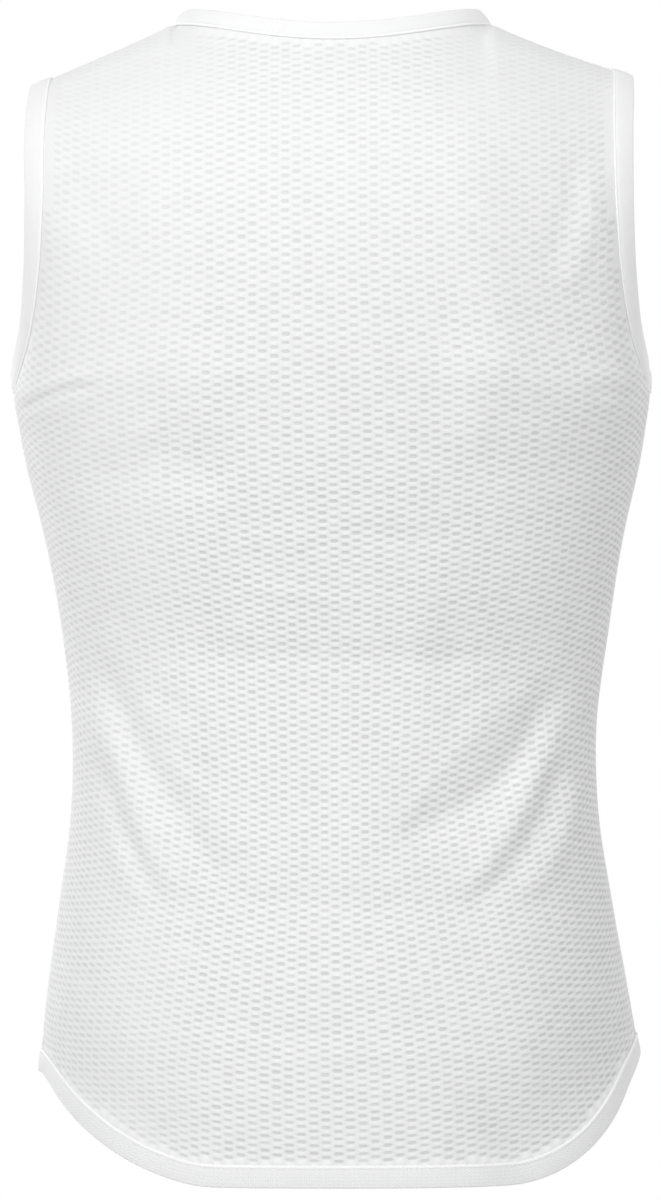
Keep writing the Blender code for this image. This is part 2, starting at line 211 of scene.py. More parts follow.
def cloth_grid(face):
    """The points of one panel, [row, column], on the middle of its cloth, before its folds."""
    u = np.linspace(-1.0, 1.0, 2 * HALF_COLUMNS * DENSITY + 1)
    rows = [row_points(row, u) for row in sections(face)]
    top = top_points(face, u)
    rows = np.array(rows + [top, past_top(face, u, top)])
    underarm = len(SIDE_ROWS) - 1

    edge_steps = np.linalg.norm(np.diff(rows[:, -1], axis=0), axis=1)
    edge_steps[-1] = edge_steps[-2]
    times = np.concatenate([[0.0], np.cumsum(edge_steps)])
    steps = np.diff(times)[:, None, None]
    speeds = np.diff(rows, axis=0) / steps
    middle = (speeds[:-1] * steps[1:] + speeds[1:] * steps[:-1]) / (steps[:-1] + steps[1:])
    into = np.concatenate([speeds[:1], middle])
    out_of = into.copy()
    corner = (np.abs(u) ** CORNER_SHARPNESS)[:, None]
    into[underarm] += (speeds[underarm - 1] - into[underarm]) * corner
    along_armhole = speeds[underarm] * np.array([1.0, 1.0, UNDERARM_SLOPE])
    out_of[underarm] += (along_armhole - out_of[underarm]) * corner

    below = np.linspace(times[0], times[underarm], SIDE_INTERVALS * DENSITY + 1)[:-1]
    above = np.linspace(times[underarm], times[-2], YOKE_INTERVALS * DENSITY + 1)
    grid = []
    for time in np.concatenate([below, above]):
        k = min(int(np.searchsorted(times, time, side="right")) - 1, len(times) - 3)
        step = times[k + 1] - times[k]
        t = (time - times[k]) / step
        grid.append(
            (2 * t**3 - 3 * t**2 + 1) * rows[k]
            + (t**3 - 2 * t**2 + t) * step * out_of[k]
            + (3 * t**2 - 2 * t**3) * rows[k + 1]
            + (t**3 - t**2) * step * into[k + 1]
        )
    grid = np.array(grid)
    ease = EVENING * (1.0 - np.abs(u) ** CORNER_SHARPNESS)[:, None]
    last = -2 * DENSITY
    for _ in range(EVENING_PASSES * DENSITY**2):
        grid[1:last] += ease * (0.5 * (grid[: last - 1] + grid[2 : last + 1]) - grid[1:last])
    return grid


def normals_of(grid, face):
    """The way out of the garment at each point of a panel's grid."""
    facing = np.cross(np.gradient(grid, axis=1), np.gradient(grid, axis=0))
    return unit(facing) * (-1.0 if face == "back" else 1.0)


grids = {face: cloth_grid(face) for face in ("back", "front")}
outward = {face: normals_of(grids[face], face) for face in grids}
for face, grid in grids.items():
    print(face, grid.shape[0], "rows of", grid.shape[1], "points")

# %% [markdown]
# ## Folds
#
# A fitted knit hangs almost smooth. Its largest folds start at the sides of the waist, where the cloth is
# loose, and run down and inwards in a V. Smaller ones start at the underarms. Each row of the tables is one
# fold, a soft ridge or trough along a bowed line, in the x and z of its face. No two are alike. The first
# table is in the solids too. The second adds small creases and broad, shallow hollows that only shade the
# cloth. The front is hidden, so it gets similar ones.

# %% The folds
FOLD_FADE, FOLD_EDGE = 0.3, 12
Fold = namedtuple("Fold", "start_x start_z end_x end_z bow width height")
FOLDS = {
    "back": [
        (135, -364, 60, -485, -3, 9, -3.4), (131, -391, 93, -488, -1, 8, 2.1),
        (131, -418, 96, -493, -3, 7, -2.3), (128, -440, 108, -494, -2, 7, 1.3),
        (-131, -376, -43, -458, 12.5, 11, -3.8), (-129, -391, -81, -482, 4, 8.5, 3.2),
        (-130, -421, -81, -494, 6, 7.5, -2.3), (-137, -432, -108, -491, 6, 7, 2.0),
        (120, -352, -120, -362, -8, 24, -1.8), (96, -234, 60, -262, 4, 20, -1.6),
    ],
    "front": [
        (134, -370, 62, -474, -4, 11, -2.6), (130, -396, 84, -484, -3, 9, 2.0),
        (-134, -368, -56, -462, 9, 11, -3.0), (-130, -392, -80, -480, 6, 9, 2.4),
        (-126, -430, -86, -492, 5, 8, -1.8), (112, -228, 66, -246, 6, 12, -2.0),
        (-114, -226, -70, -248, -6, 12, -2.2),
    ],
}
FINE_FOLDS = {
    "back": [
        (70, -50, 74, -200, 2, 18, -1.5), (-76, -70, -98, -205, -3, 16, 1.4),
        (-60, -197, -165, -205, -3, 13, 1.6), (150, -206, 40, -200, 4, 14, 1.2),
        (140, -258, 60, -254, 3, 16, -2.0), (-70, -250, -168, -252, 2, 18, -1.4),
        (62, -357, -112, -362, 0, 7, -1.0), (100, -497, -112, -499, 3, 8, -0.8),
        (110, -499, -110, -501, 3, 24, -1.5), (75, -600, -75, -600, 0, 50, 2.6),
        (172, -584, 84, -640, 0, 26, -4.5), (-168, -578, -92, -638, 0, 28, -5.0),
        (-98, -505, -112, -625, 0, 28, 2.6), (-70, -214, -165, -216, 0, 40, 3.0),
        (-158, -95, -168, -218, 0, 28, 4.0), (160, -110, 170, -222, 0, 26, 3.8),
        (150, -350, 60, -348, 0, 34, -3.2), (-60, -352, -150, -355, 0, 26, -3.8),
        (-128, -378, -46, -456, 11, 26, -4.5), (122, -362, 66, -446, -2, 22, -2.4),
        (44, -320, -10, -330, 1, 3.5, 0.8), (172, -218, 132, -207, 2, 3.2, -1.5),
        (170, -213, 134, -202, 2, 4.0, 0.9), (-176, -214, -142, -210, -2, 4.0, -1.1),
        (-168, -222, -136, -217, -2, 5.0, 0.6), (92, -416, 46, -470, 4, 5.0, 0.8),
        (-86, -398, -40, -452, -4, 5.0, 0.9), (-108, -372, -64, -396, -5, 6.0, -1.0),
        (104, -378, 70, -404, 5, 6.0, -0.9), (-8, -286, -64, -291, -3, 6.0, -0.7),
        (60, -298, 12, -294, 3, 6.0, 0.6), (-4, -376, -10, -500, 3, 9.0, 0.9),
        (30, -540, -46, -544, 3, 6.0, 0.7), (62, -560, -10, -566, -3, 6.0, -0.7),
        (24, -584, -70, -580, 4, 6.0, 0.6), (-136, -80, -120, -140, 4, 7.0, -1.0),
        (-146, -96, -132, -150, 4, 6.0, 0.8), (142, -92, 118, -136, -4, 7.0, -0.7),
    ],
    "front": [
        (172, -216, 130, -205, 2, 3.6, -1.3), (-172, -214, -128, -204, -2, 3.6, -1.4),
        (96, -412, 52, -462, 4, 5.0, 0.8), (-90, -404, -46, -448, -4, 5.0, 0.8),
        (40, -322, -30, -326, 3, 7.0, 0.7), (-60, -118, -28, -128, -2, 6.0, -0.7),
        (62, -116, 30, -128, 2, 6.0, -0.8), (70, -548, -20, -554, 3, 6.0, 0.6),
        (20, -572, -64, -576, -3, 6.0, -0.6), (136, -88, 118, -134, -4, 7.0, -0.8),
        (-138, -86, -118, -130, 4, 7.0, -0.8),
    ],
}


def fold_height(folds, x, z):
    """How far the folds lift the cloth at each point, in millimetres."""
    height = np.zeros_like(x)
    for fold in (Fold(*row) for row in folds):
        run_x, run_z = fold.end_x - fold.start_x, fold.end_z - fold.start_z
        length = math.hypot(run_x, run_z)
        along = ((x - fold.start_x) * run_x + (z - fold.start_z) * run_z) / length**2
        across = ((x - fold.start_x) * run_z - (z - fold.start_z) * run_x) / length
        across = across - fold.bow * np.sin(math.pi * np.clip(along, 0.0, 1.0))
        ends = smooth(along / FOLD_FADE + 0.5) * smooth((1.0 - along) / FOLD_FADE + 0.5)
        height += fold.height * ends * np.exp(-((across / fold.width) ** 2))
    return height


def folded(face, points, out, u):
    """The points of a panel's cloth moved in and out by its folds, which die away at its side edges."""
    height = fold_height(FOLDS[face] + FINE_FOLDS[face], points[..., 0], points[..., 2])
    return points + out * (height * (1.0 - np.abs(u) ** FOLD_EDGE))[..., None]


columns_u = np.linspace(-1.0, 1.0, grids["back"].shape[1])
worn = {face: folded(face, grids[face], outward[face], columns_u) for face in grids}
for face in worn:
    moved = np.linalg.norm(worn[face] - grids[face], axis=2)
    print(face, "folds move the cloth by up to", round(float(moved.max()), 1), "mm")

# %% [markdown]
# ## How the mesh runs over the body
#
# A knit stretches where the body is wide and closes up where it is narrow, so the eyelets aren't the same
# size everywhere. Counted on the picture, a column of eyelets is 5.7 mm wide at the waist and 6.8 mm at the
# hips, and a row is 5 mm tall on the upper back and 4.2 mm at the hem. Towards the hem the rows also turn up
# at the sides. So every point of the cloth gets two numbers, its column and its row in the knit. On that flat
# chart the net is perfectly even, which makes it easy to draw, and the chart takes it back onto the body.

# %% A chart of the knit
Knit = namedtuple("Knit", "height column row smile lift depth")
KNIT = [
    (-640, 6.8, 4.15, 0.00215, 0.0, 0.85),
    (-586, 6.75, 4.2, 0.0020, 0.0, 0.90),
    (-530, 6.2, 4.4, 0.0020, 0.0, 0.95),
    (-475, 5.7, 4.3, 0.0017, 0.0, 1.0),
    (-420, 5.65, 4.4, 0.0014, 0.0, 1.0),
    (-364, 5.9, 4.25, 0.0011, 0.0, 1.0),
    (-309, 6.15, 4.3, 0.0009, 0.0, 1.0),
    (-253, 6.4, 4.5, 0.0005, 0.0, 0.9),
    (-198, 6.4, 4.75, 0.0001, 0.001, 0.75),
    (-143, 6.15, 4.95, 0.0, 0.004, 0.65),
    (-93, 6.15, 5.0, 0.0, 0.005, 0.55),
    (60, 6.15, 5.0, 0.0, 0.005, 0.45),
]
COLUMN, ROW = 6.2, 4.5
YOKE_LEVEL = -110.0
LIFT_FROM = 110.0
knit = np.array(KNIT)


def at_height(height, field):
    return np.interp(height, knit[:, 0], knit[:, Knit._fields.index(field)])


def rows_counted(height):
    """How many rows of the knit lie between the chest and this height."""
    levels = np.linspace(-760.0, 260.0, 2041)
    count = np.concatenate([[0.0], np.cumsum(0.5 / at_height(levels[1:], "row"))])
    return np.interp(height, levels, count - np.interp(-208.0, levels, count))


def knit_chart(grid):
    """The column and the row of the knit at each point of a panel's grid, as places on a flat chart."""
    middle = grid.shape[1] // 2
    steps = np.linalg.norm(np.diff(grid[..., :2], axis=1), axis=2)
    around = np.concatenate([np.zeros((len(grid), 1)), np.cumsum(steps, axis=1)], axis=1)
    around -= around[:, [middle]]
    height = grid[..., 2].copy()
    rises = np.linalg.norm(np.diff(grid, axis=0), axis=2)
    climbed = np.concatenate([np.zeros((1, grid.shape[1])), np.cumsum(rises, axis=0)])

    # Above the yoke level the columns run straight up, and the rows are counted along the cloth
    level_x, level_around, start = [], [], []
    for c in range(grid.shape[1]):
        below = grid[..., 2][:, c] < YOKE_LEVEL
        z, r = grid[:, c, 2], int(np.argmin(below))
        share = (YOKE_LEVEL - z[r - 1]) / (z[r] - z[r - 1])
        level_x.append(grid[r - 1, c, 0] + share * (grid[r, c, 0] - grid[r - 1, c, 0]))
        level_around.append(around[r - 1, c] + share * (around[r, c] - around[r - 1, c]))
        start.append(climbed[r - 1, c] + share * rises[r - 1, c])
    over = grid[..., 2] > YOKE_LEVEL
    x = grid[..., 0]
    straight = np.interp(x, level_x, level_around) + x - np.clip(x, level_x[0], level_x[-1])
    around = np.where(over, straight, around)
    height = np.where(over, YOKE_LEVEL + climbed - np.array(start), height)

    far = np.maximum(np.abs(around) - LIFT_FROM, 0.0)
    level = height - 0.5 * at_height(height, "smile") * around**2
    level -= 0.5 * at_height(height, "lift") * far**2
    return np.stack([around / at_height(height, "column") * COLUMN, rows_counted(level) * ROW], axis=2)


charts = {face: knit_chart(grids[face]) for face in grids}
for face, chart in charts.items():
    size = (chart.max(axis=(0, 1)) - chart.min(axis=(0, 1))) / (COLUMN, ROW)
    print(face, "is", round(float(size[0])), "columns by", round(float(size[1])), "rows of eyelets")


# %% From the chart to the body
def net_triangles(rows, columns):
    """Two triangles for each square of a net of points stored row by row."""
    a = np.arange(rows * columns).reshape(rows, columns)
    first = np.stack([a[:-1, :-1], a[:-1, 1:], a[1:, 1:]], axis=-1).reshape(-1, 3)
    second = np.stack([a[:-1, :-1], a[1:, 1:], a[1:, :-1]], axis=-1).reshape(-1, 3)
    return np.concatenate([first, second])


def place_on_body(face, places):
    """The points of the worn cloth at these places of the chart, and the way out of the garment there."""
    grid, chart = grids[face], charts[face]
    triangles = net_triangles(*grid.shape[:2])
    flat = chart.reshape(-1, 2)
    tree = BVHTree.FromPolygons(np.column_stack([flat, np.zeros(len(flat))]).tolist(), triangles.tolist())
    found = [tree.find_nearest((x, y, 0.0))[2] for x, y in places.tolist()]
    corners = triangles[found]
    a, b, c = flat[corners[:, 0]], flat[corners[:, 1]], flat[corners[:, 2]]
    ab, ac, ap = b - a, c - a, places - a
    area = ab[:, 0] * ac[:, 1] - ab[:, 1] * ac[:, 0]
    to_b = (ap[:, 0] * ac[:, 1] - ap[:, 1] * ac[:, 0]) / area
    to_c = (ab[:, 0] * ap[:, 1] - ab[:, 1] * ap[:, 0]) / area
    weights = np.stack([1.0 - to_b - to_c, to_b, to_c], axis=1)[..., None]
    u = np.broadcast_to(columns_u, grid.shape[:2])[..., None]
    facts = np.concatenate([grid, outward[face], u], axis=2).reshape(-1, 7)
    mixed = (facts[corners] * weights).sum(axis=1)
    out = unit(mixed[:, 3:6])
    return folded(face, mixed[:, :3], out, mixed[:, 6]), out


# %% [markdown]
# ## The mesh
#
# The cloth looks like a net, but no background shows through its eyelets. Each is closed by a flat floor, and the
# floor is painted grey: painted shade for the dark inside of the garment, as seen through an open eyelet. A bump
# pattern could fake that, but it falls apart close up and at the outline, so every eyelet is a real hollow. Its
# cell is a ring of faces between a six-sided rim and a border that it shares with its neighbours. Every second
# column sits half a row higher. The bars between two eyelets stand proud and the rims sink in, so light from
# above catches each bar, as it does on the yarn. The rims and the ribs between columns are also painted greyer
# than the bars, as painted shade in these hollows.

# %% Build one panel of net
Eyelet = namedtuple("Eyelet", "half_width half_height bar rib rim")
EYELET = Eyelet(0.435, 0.235, 0.50, -0.06, -0.50)
SIZE_SPREAD, PLACE_SPREAD, FLOOR_SHADE_SPREAD = (0.04, 0.09), (0.06, 0.11), 0.09
# Painted shade: the rims, the ribs between columns and the eyelet floors are greyed towards a shade grey, while
# the bars keep the full yarn colour
BAR_TONE, RIB_SHADE_TONE, RIM_SHADE_TONE, FLOOR_SHADE_TONE, MEAN_SHADE_TONE = 1.0, 0.62, 0.68, 0.0, 0.60
RIM_SHAPE = np.array([(1, 0), (0.55, 0.92), (-0.55, 0.92), (-1, 0), (-0.55, -0.92), (0.55, -0.92)])
CELL_SHAPE = np.array([(1, 0), (1, 1), (0, 1), (-1, 1), (-1, 0), (-1, -1), (0, -1), (1, -1)])
RING_QUADS = [(0, 1, 9, 8), (3, 4, 11, 10), (4, 5, 12, 11), (7, 0, 8, 13)]
RING_TRIANGLES = [(1, 2, 9), (2, 10, 9), (2, 3, 10), (5, 6, 12), (6, 13, 12), (6, 7, 13)]
EDGE_MARGIN = 0.7


def inside(points, outline):
    """Which points lie inside a closed outline."""
    x, y = points[:, 0], points[:, 1]
    within = np.zeros(len(points), bool)
    for (x0, y0), (x1, y1) in zip(outline, np.roll(outline, -1, axis=0)):
        if y0 != y1:
            crosses = ((y0 > y) != (y1 > y)) & (x < x0 + (x1 - x0) * (y - y0) / (y1 - y0))
            within ^= crosses
    return within


def distance_to(points, outline):
    nearest = np.full(len(points), 1e9)
    for start, end in zip(outline, np.roll(outline, -1, axis=0)):
        run = end - start
        along = np.clip(((points - start) @ run) / max(float(run @ run), 1e-9), 0.0, 1.0)
        nearest = np.minimum(nearest, np.linalg.norm(points - start - along[:, None] * run, axis=1))
    return nearest


def outline_of(net):
    """The border of a net of points, once round."""
    return np.concatenate([net[0, :-1], net[:-1, -1], net[-1, :0:-1], net[:0:-1, 0]])


def eyelet_cells(outline):
    """The centres of the cells that fit inside the outline, as whole half columns and half rows."""
    low, high = outline.min(axis=0), outline.max(axis=0)
    columns = np.arange(math.ceil(low[0] / COLUMN), math.floor(high[0] / COLUMN) + 1)
    rows = np.arange(math.ceil(low[1] / ROW) - 1, math.floor(high[1] / ROW) + 2)
    i, j = (a.ravel() for a in np.meshgrid(columns, rows, indexing="ij"))
    cells = np.stack([2 * i, 2 * j + i % 2], axis=1)
    corners = (cells[:, None] + CELL_SHAPE).reshape(-1, 2)
    unique, where = np.unique(corners, axis=0, return_inverse=True)
    places = unique * (0.5 * COLUMN, 0.5 * ROW)
    good = inside(places, outline) & (distance_to(places, outline) > EDGE_MARGIN)
    return cells[good[where.ravel()].reshape(-1, 8).all(axis=1)]


def net_of_eyelets(face, outline):
    """Places on the chart, how far each stands out, and the faces of the whole net, edges filled in plain."""
    cells = eyelet_cells(outline)
    corners = (cells[:, None] + CELL_SHAPE).reshape(-1, 2)
    unique, where = np.unique(corners, axis=0, return_inverse=True)
    where = where.ravel().reshape(-1, 8)
    borders = unique * (0.5 * COLUMN, 0.5 * ROW)
    border_relief = np.where(unique[:, 0] % 2 == 0, EYELET.bar, EYELET.rib)

    chance = np.random.default_rng(11)
    size = 1.0 + SIZE_SPREAD * chance.standard_normal((len(cells), 2)).clip(-2, 2)
    shifted = PLACE_SPREAD * chance.standard_normal((len(cells), 2)).clip(-2, 2)
    # Painted shade on each eyelet floor, a little different from eyelet to eyelet
    floor_shade_tone = FLOOR_SHADE_TONE + FLOOR_SHADE_SPREAD * chance.standard_normal(len(cells)).clip(-1, 2)
    centres = cells * (0.5 * COLUMN, 0.5 * ROW) + shifted
    reach = np.array([EYELET.half_width * COLUMN, EYELET.half_height * ROW])
    rims = (centres[:, None] + RIM_SHAPE * reach * size[:, None]).reshape(-1, 2)
    rim_ids = len(unique) + np.arange(len(rims)).reshape(-1, 6)
    both = np.hstack([where, rim_ids])
    rings = both[:, RING_QUADS].reshape(-1, 4).tolist() + both[:, RING_TRIANGLES].reshape(-1, 3).tolist()

    # The ragged edge of the net is joined to the cut edge with plain triangles
    sides = np.stack([where, np.roll(where, -1, axis=1)], axis=2).reshape(-1, 2)
    _, first, count = np.unique(np.sort(sides, axis=1), axis=0, return_index=True, return_counts=True)
    open_sides = sides[first[count == 1]]
    ragged = np.unique(open_sides)
    number = {int(v): k for k, v in enumerate(ragged)}
    loop = [len(ragged) + k for k in range(len(outline))]
    edges = [(number[int(a)], number[int(b)]) for a, b in open_sides]
    edges += list(zip(loop, loop[1:] + loop[:1]))
    places = np.concatenate([borders[ragged], outline])
    joined = delaunay_2d_cdt([Vector(p) for p in places.tolist()], edges, [], 0, 1e-5)
    spots = np.array([tuple(v) for v in joined[0]])
    triangles = np.array(joined[2])
    middles = spots[triangles].mean(axis=1)
    half = np.round(middles[:, 0] / COLUMN).astype(int)
    up = np.round(middles[:, 1] / ROW - 0.5 * (half % 2)).astype(int)
    kept = set(map(tuple, cells.tolist()))
    in_net = np.array([(2 * h, 2 * k + h % 2) in kept for h, k in zip(half.tolist(), up.tolist())])
    triangles = triangles[inside(middles, outline) & ~in_net]
    named = [int(ragged[o[0]]) if o and o[0] < len(ragged) else None for o in joined[3]]
    extra = [k for k, name in enumerate(named) if name is None]
    offset = len(unique) + len(rims)
    for k, spot in enumerate(extra):
        named[spot] = offset + k
    strip = np.array(named)[triangles]
    a, b, c = (spots[triangles[:, k]] for k in range(3))
    turned = (b - a)[:, 0] * (c - a)[:, 1] - (b - a)[:, 1] * (c - a)[:, 0]
    strip[turned < 0] = strip[turned < 0][:, ::-1]

    places = np.concatenate([borders, rims, spots[extra]])
    relief = np.concatenate([border_relief, np.full(len(rims), EYELET.rim), np.zeros(len(extra))])
    # The painted shade of each corner: full yarn colour on the bars, greyer on the ribs, the rims and the plain
    # edge
    border_painted_tone = np.where(unique[:, 0] % 2 == 0, BAR_TONE, RIB_SHADE_TONE)
    painted_tone = np.concatenate([border_painted_tone, np.full(len(rims), RIM_SHADE_TONE), np.full(len(extra), RIB_SHADE_TONE)])
    print(face, len(cells), "eyelets,", len(strip), "plain triangles along the edges")
    return places, relief, painted_tone, floor_shade_tone, rim_ids.tolist(), rings + strip.tolist()


# %% Pieces of cloth as meshes
def corner_points(mesh):
    """The number of the point at each face corner."""
    corners = np.empty(len(mesh.loops), np.int64)
    mesh.loops.foreach_get("vertex_index", corners)
    return corners


def make_piece(name, points, faces, material, chart=None, corner_chart=None):
    """A named mesh from points in millimetres, with the cloth's own coordinates as a UV map."""
    mesh = bpy.data.meshes.new(name)
    mesh.from_pydata((np.asarray(points) * MM).tolist(), [], faces)
    mesh.update()
    mesh.shade_smooth()
    mesh.materials.append(material)
    piece = bpy.data.objects.new(name, mesh)
    scene.collection.objects.link(piece)
    if chart is not None:
        corner_chart = np.asarray(chart)[corner_points(mesh)]
    if corner_chart is not None:
        layer = mesh.uv_layers.new(name="cloth")
        layer.uv.foreach_set("vector", (corner_chart * MM).astype(np.float32).ravel())
    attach(piece, "root")
    return piece


# %% [markdown]
# ## White polyester yarn
#
# The yarn is bright white, soft and nearly matt, with a faint sheen where light grazes it. The finishes share
# one effect, the tiny V shaped stitches of knitting, so that is a node group of its own. It reads the cloth's
# own coordinates, which are in metres, and puts out a height for a Bump node. A second group mottles the
# white by a percent or two, because a perfectly even white looks like plastic.

# %% The knit stitch group
def new_group(name, inputs, output):
    """A node group with these sockets, each a name, a kind and a first value, and the nodes at its ends."""
    group = bpy.data.node_groups.new(name, "ShaderNodeTree")
    for title, kind, value in inputs:
        made = group.interface.new_socket(title, in_out="INPUT", socket_type="NodeSocket" + kind)
        if value is not None:
            made.default_value = value
    group.interface.new_socket(output[0], in_out="OUTPUT", socket_type="NodeSocket" + output[1])
    return group, group.nodes, group.links, group.nodes.new("NodeGroupInput"), group.nodes.new("NodeGroupOutput")


def add_math(nodes, links, operation, first, second=None, third=None):
    """A Math node whose inputs are sockets or plain numbers."""
    node = nodes.new("ShaderNodeMath")
    node.operation = operation
    for slot, value in zip(node.inputs, (first, second, third)):
        if value is None:
            continue
        if isinstance(value, (int, float)):
            slot.default_value = value
        else:
            links.new(value, slot)
    return node.outputs[0]


LEG_SLANT, LEG_HEIGHT, LOOP_HEIGHT = 1.4, 1.2, 0.6


def knit_stitches():
    inputs = [("Cloth", "Vector", None), ("Stitch Width", "Float", 0.0009), ("Stitch Height", "Float", 0.0007)]
    group, nodes, links, source, result = new_group("knit stitches", inputs, ("Height", "Float"))
    split = nodes.new("ShaderNodeSeparateXYZ")
    links.new(source.outputs["Cloth"], split.inputs[0])
    wale = add_math(nodes, links, "DIVIDE", split.outputs["X"], source.outputs["Stitch Width"])
    course = add_math(nodes, links, "DIVIDE", split.outputs["Y"], source.outputs["Stitch Height"])
    part = add_math(nodes, links, "FRACT", wale)
    off = add_math(nodes, links, "ABSOLUTE", add_math(nodes, links, "SUBTRACT", part, 0.5))
    slanted = add_math(nodes, links, "MULTIPLY_ADD", off, LEG_SLANT, course)
    turn = add_math(nodes, links, "MULTIPLY", slanted, 2.0 * math.pi)
    loop = add_math(nodes, links, "MULTIPLY_ADD", add_math(nodes, links, "COSINE", turn), 0.5, 0.5)
    leg = add_math(nodes, links, "PINGPONG", add_math(nodes, links, "MULTIPLY", off, 2.0), 0.5)
    looped = add_math(nodes, links, "MULTIPLY", loop, LOOP_HEIGHT)
    height = add_math(nodes, links, "MULTIPLY_ADD", leg, LEG_HEIGHT, looped)
    links.new(height, result.inputs["Height"])
    return group


def yarn_mottle():
    inputs = [("Color", "Color", (0.9, 0.9, 0.9, 1.0)), ("Patch Size", "Float", 0.02), ("Amount", "Float", 0.03)]
    group, nodes, links, source, result = new_group("yarn mottle", inputs, ("Color", "Color"))
    place = nodes.new("ShaderNodeTexCoord")
    noise = nodes.new("ShaderNodeTexNoise")
    noise.inputs["Detail"].default_value = 3.0
    links.new(place.outputs["Object"], noise.inputs["Vector"])
    links.new(add_math(nodes, links, "DIVIDE", 1.0, source.outputs["Patch Size"]), noise.inputs["Scale"])
    dim = add_math(nodes, links, "MULTIPLY", noise.outputs[0], source.outputs["Amount"])
    keep = add_math(nodes, links, "SUBTRACT", 1.0, dim)
    scale = nodes.new("ShaderNodeVectorMath")
    scale.operation = "SCALE"
    links.new(source.outputs["Color"], scale.inputs[0])
    links.new(keep, scale.inputs["Scale"])
    links.new(scale.outputs[0], result.inputs["Color"])
    return group


STITCHES, MOTTLE = knit_stitches(), yarn_mottle()
print("node groups:", STITCHES.name, "and", MOTTLE.name)

# %% The finishes
Yarn = namedtuple("Yarn", "colour roughness stitch_width stitch_height stitch_depth sheen")
NET_YARN = Yarn((0.955, 0.956, 0.958), 0.66, 0.0011, 0.0008, 0.00010, 0.10)
# The grey that the painted shade mixes into the net yarn
PAINTED_SHADE_COLOUR = (0.660, 0.664, 0.672)
SMOOTH_YARN = Yarn((0.862, 0.864, 0.868), 0.58, 0.0008, 0.0006, 0.00006, 0.15)
HEM_YARN = Yarn((0.845, 0.847, 0.852), 0.62, 0.0027, 0.0019, 0.00022, 0.15)
SEWING_THREAD = Yarn((0.915, 0.916, 0.918), 0.45, 0.0006, 0.0005, 0.00003, 0.10)


def yarn_material(name, yarn, on_chart=True):
    material = bpy.data.materials.new(name)
    material.use_nodes = True
    nodes, links = material.node_tree.nodes, material.node_tree.links
    shader = nodes["Principled BSDF"]
    shader.inputs["Roughness"].default_value = yarn.roughness
    shader.inputs["Sheen Weight"].default_value = yarn.sheen
    shader.inputs["Sheen Roughness"].default_value = 0.5
    shader.inputs["Specular IOR Level"].default_value = 0.35
    mottle = nodes.new("ShaderNodeGroup")
    mottle.node_tree = MOTTLE
    mottle.inputs["Color"].default_value = (*yarn.colour, 1.0)
    links.new(mottle.outputs["Color"], shader.inputs["Base Color"])
    if on_chart:
        cloth = nodes.new("ShaderNodeUVMap")
        cloth.uv_map = "cloth"
        stitches = nodes.new("ShaderNodeGroup")
        stitches.node_tree = STITCHES
        stitches.inputs["Stitch Width"].default_value = yarn.stitch_width
        stitches.inputs["Stitch Height"].default_value = yarn.stitch_height
        bump = nodes.new("ShaderNodeBump")
        bump.inputs["Strength"].default_value = 1.0
        bump.inputs["Distance"].default_value = yarn.stitch_depth
        links.new(cloth.outputs["UV"], stitches.inputs["Cloth"])
        links.new(stitches.outputs["Height"], bump.inputs["Height"])
        links.new(bump.outputs["Normal"], shader.inputs["Normal"])
    return material


def add_painted_shading(material):
    """Greys the yarn by the painted shading kept on each corner of the net: painted shade on the eyelet floors,
    rims and ribs.
    """
    nodes, links = material.node_tree.nodes, material.node_tree.links
    painted_shading = nodes.new("ShaderNodeAttribute")
    painted_shading.attribute_name = "painted_shading"
    mix = nodes.new("ShaderNodeMix")
    mix.data_type = "RGBA"
    mottle = next(node for node in nodes if node.type == "GROUP" and node.node_tree == MOTTLE)
    mix.inputs[6].default_value = (*PAINTED_SHADE_COLOUR, 1.0)
    mix.inputs[7].default_value = mottle.inputs["Color"].default_value
    links.new(painted_shading.outputs["Fac"], mix.inputs[0])
    links.new(mix.outputs[2], mottle.inputs["Color"])


net_yarn = yarn_material("net yarn", NET_YARN)
add_painted_shading(net_yarn)
smooth_yarn = yarn_material("smooth yarn", SMOOTH_YARN)
hem_yarn = yarn_material("hem yarn", HEM_YARN)
sewing_thread = yarn_material("sewing thread", SEWING_THREAD, on_chart=False)
print("finishes:", [m.name for m in (net_yarn, smooth_yarn, hem_yarn, sewing_thread)])


# %% The two panels
SIDE_WASH, SHOULDER_WASH = 0.38, 0.50
SIDE_NECK_X, SIDE_NECK_Z, SIDE_NECK_PLAIN = 88.0, -6.0, 22.0


def eyelet_depth(points):
    """How deep the eyelets are and how strong their painted shade is: most in the middle of the back, least
    towards the shoulders.
    """
    x, z = points[:, 0], points[:, 2]
    towards_side = smooth((x - 50.0) / 70.0)
    towards_shoulder = smooth((np.abs(x) - 45.0) / 35.0) * smooth((z + 80.0) / 45.0)
    off_corner = smooth(np.hypot(np.abs(x) - SIDE_NECK_X, z - SIDE_NECK_Z) / SIDE_NECK_PLAIN)
    washed = (1.0 - SIDE_WASH * towards_side) * (1.0 - SHOULDER_WASH * towards_shoulder)
    return at_height(z, "depth") * washed * off_corner


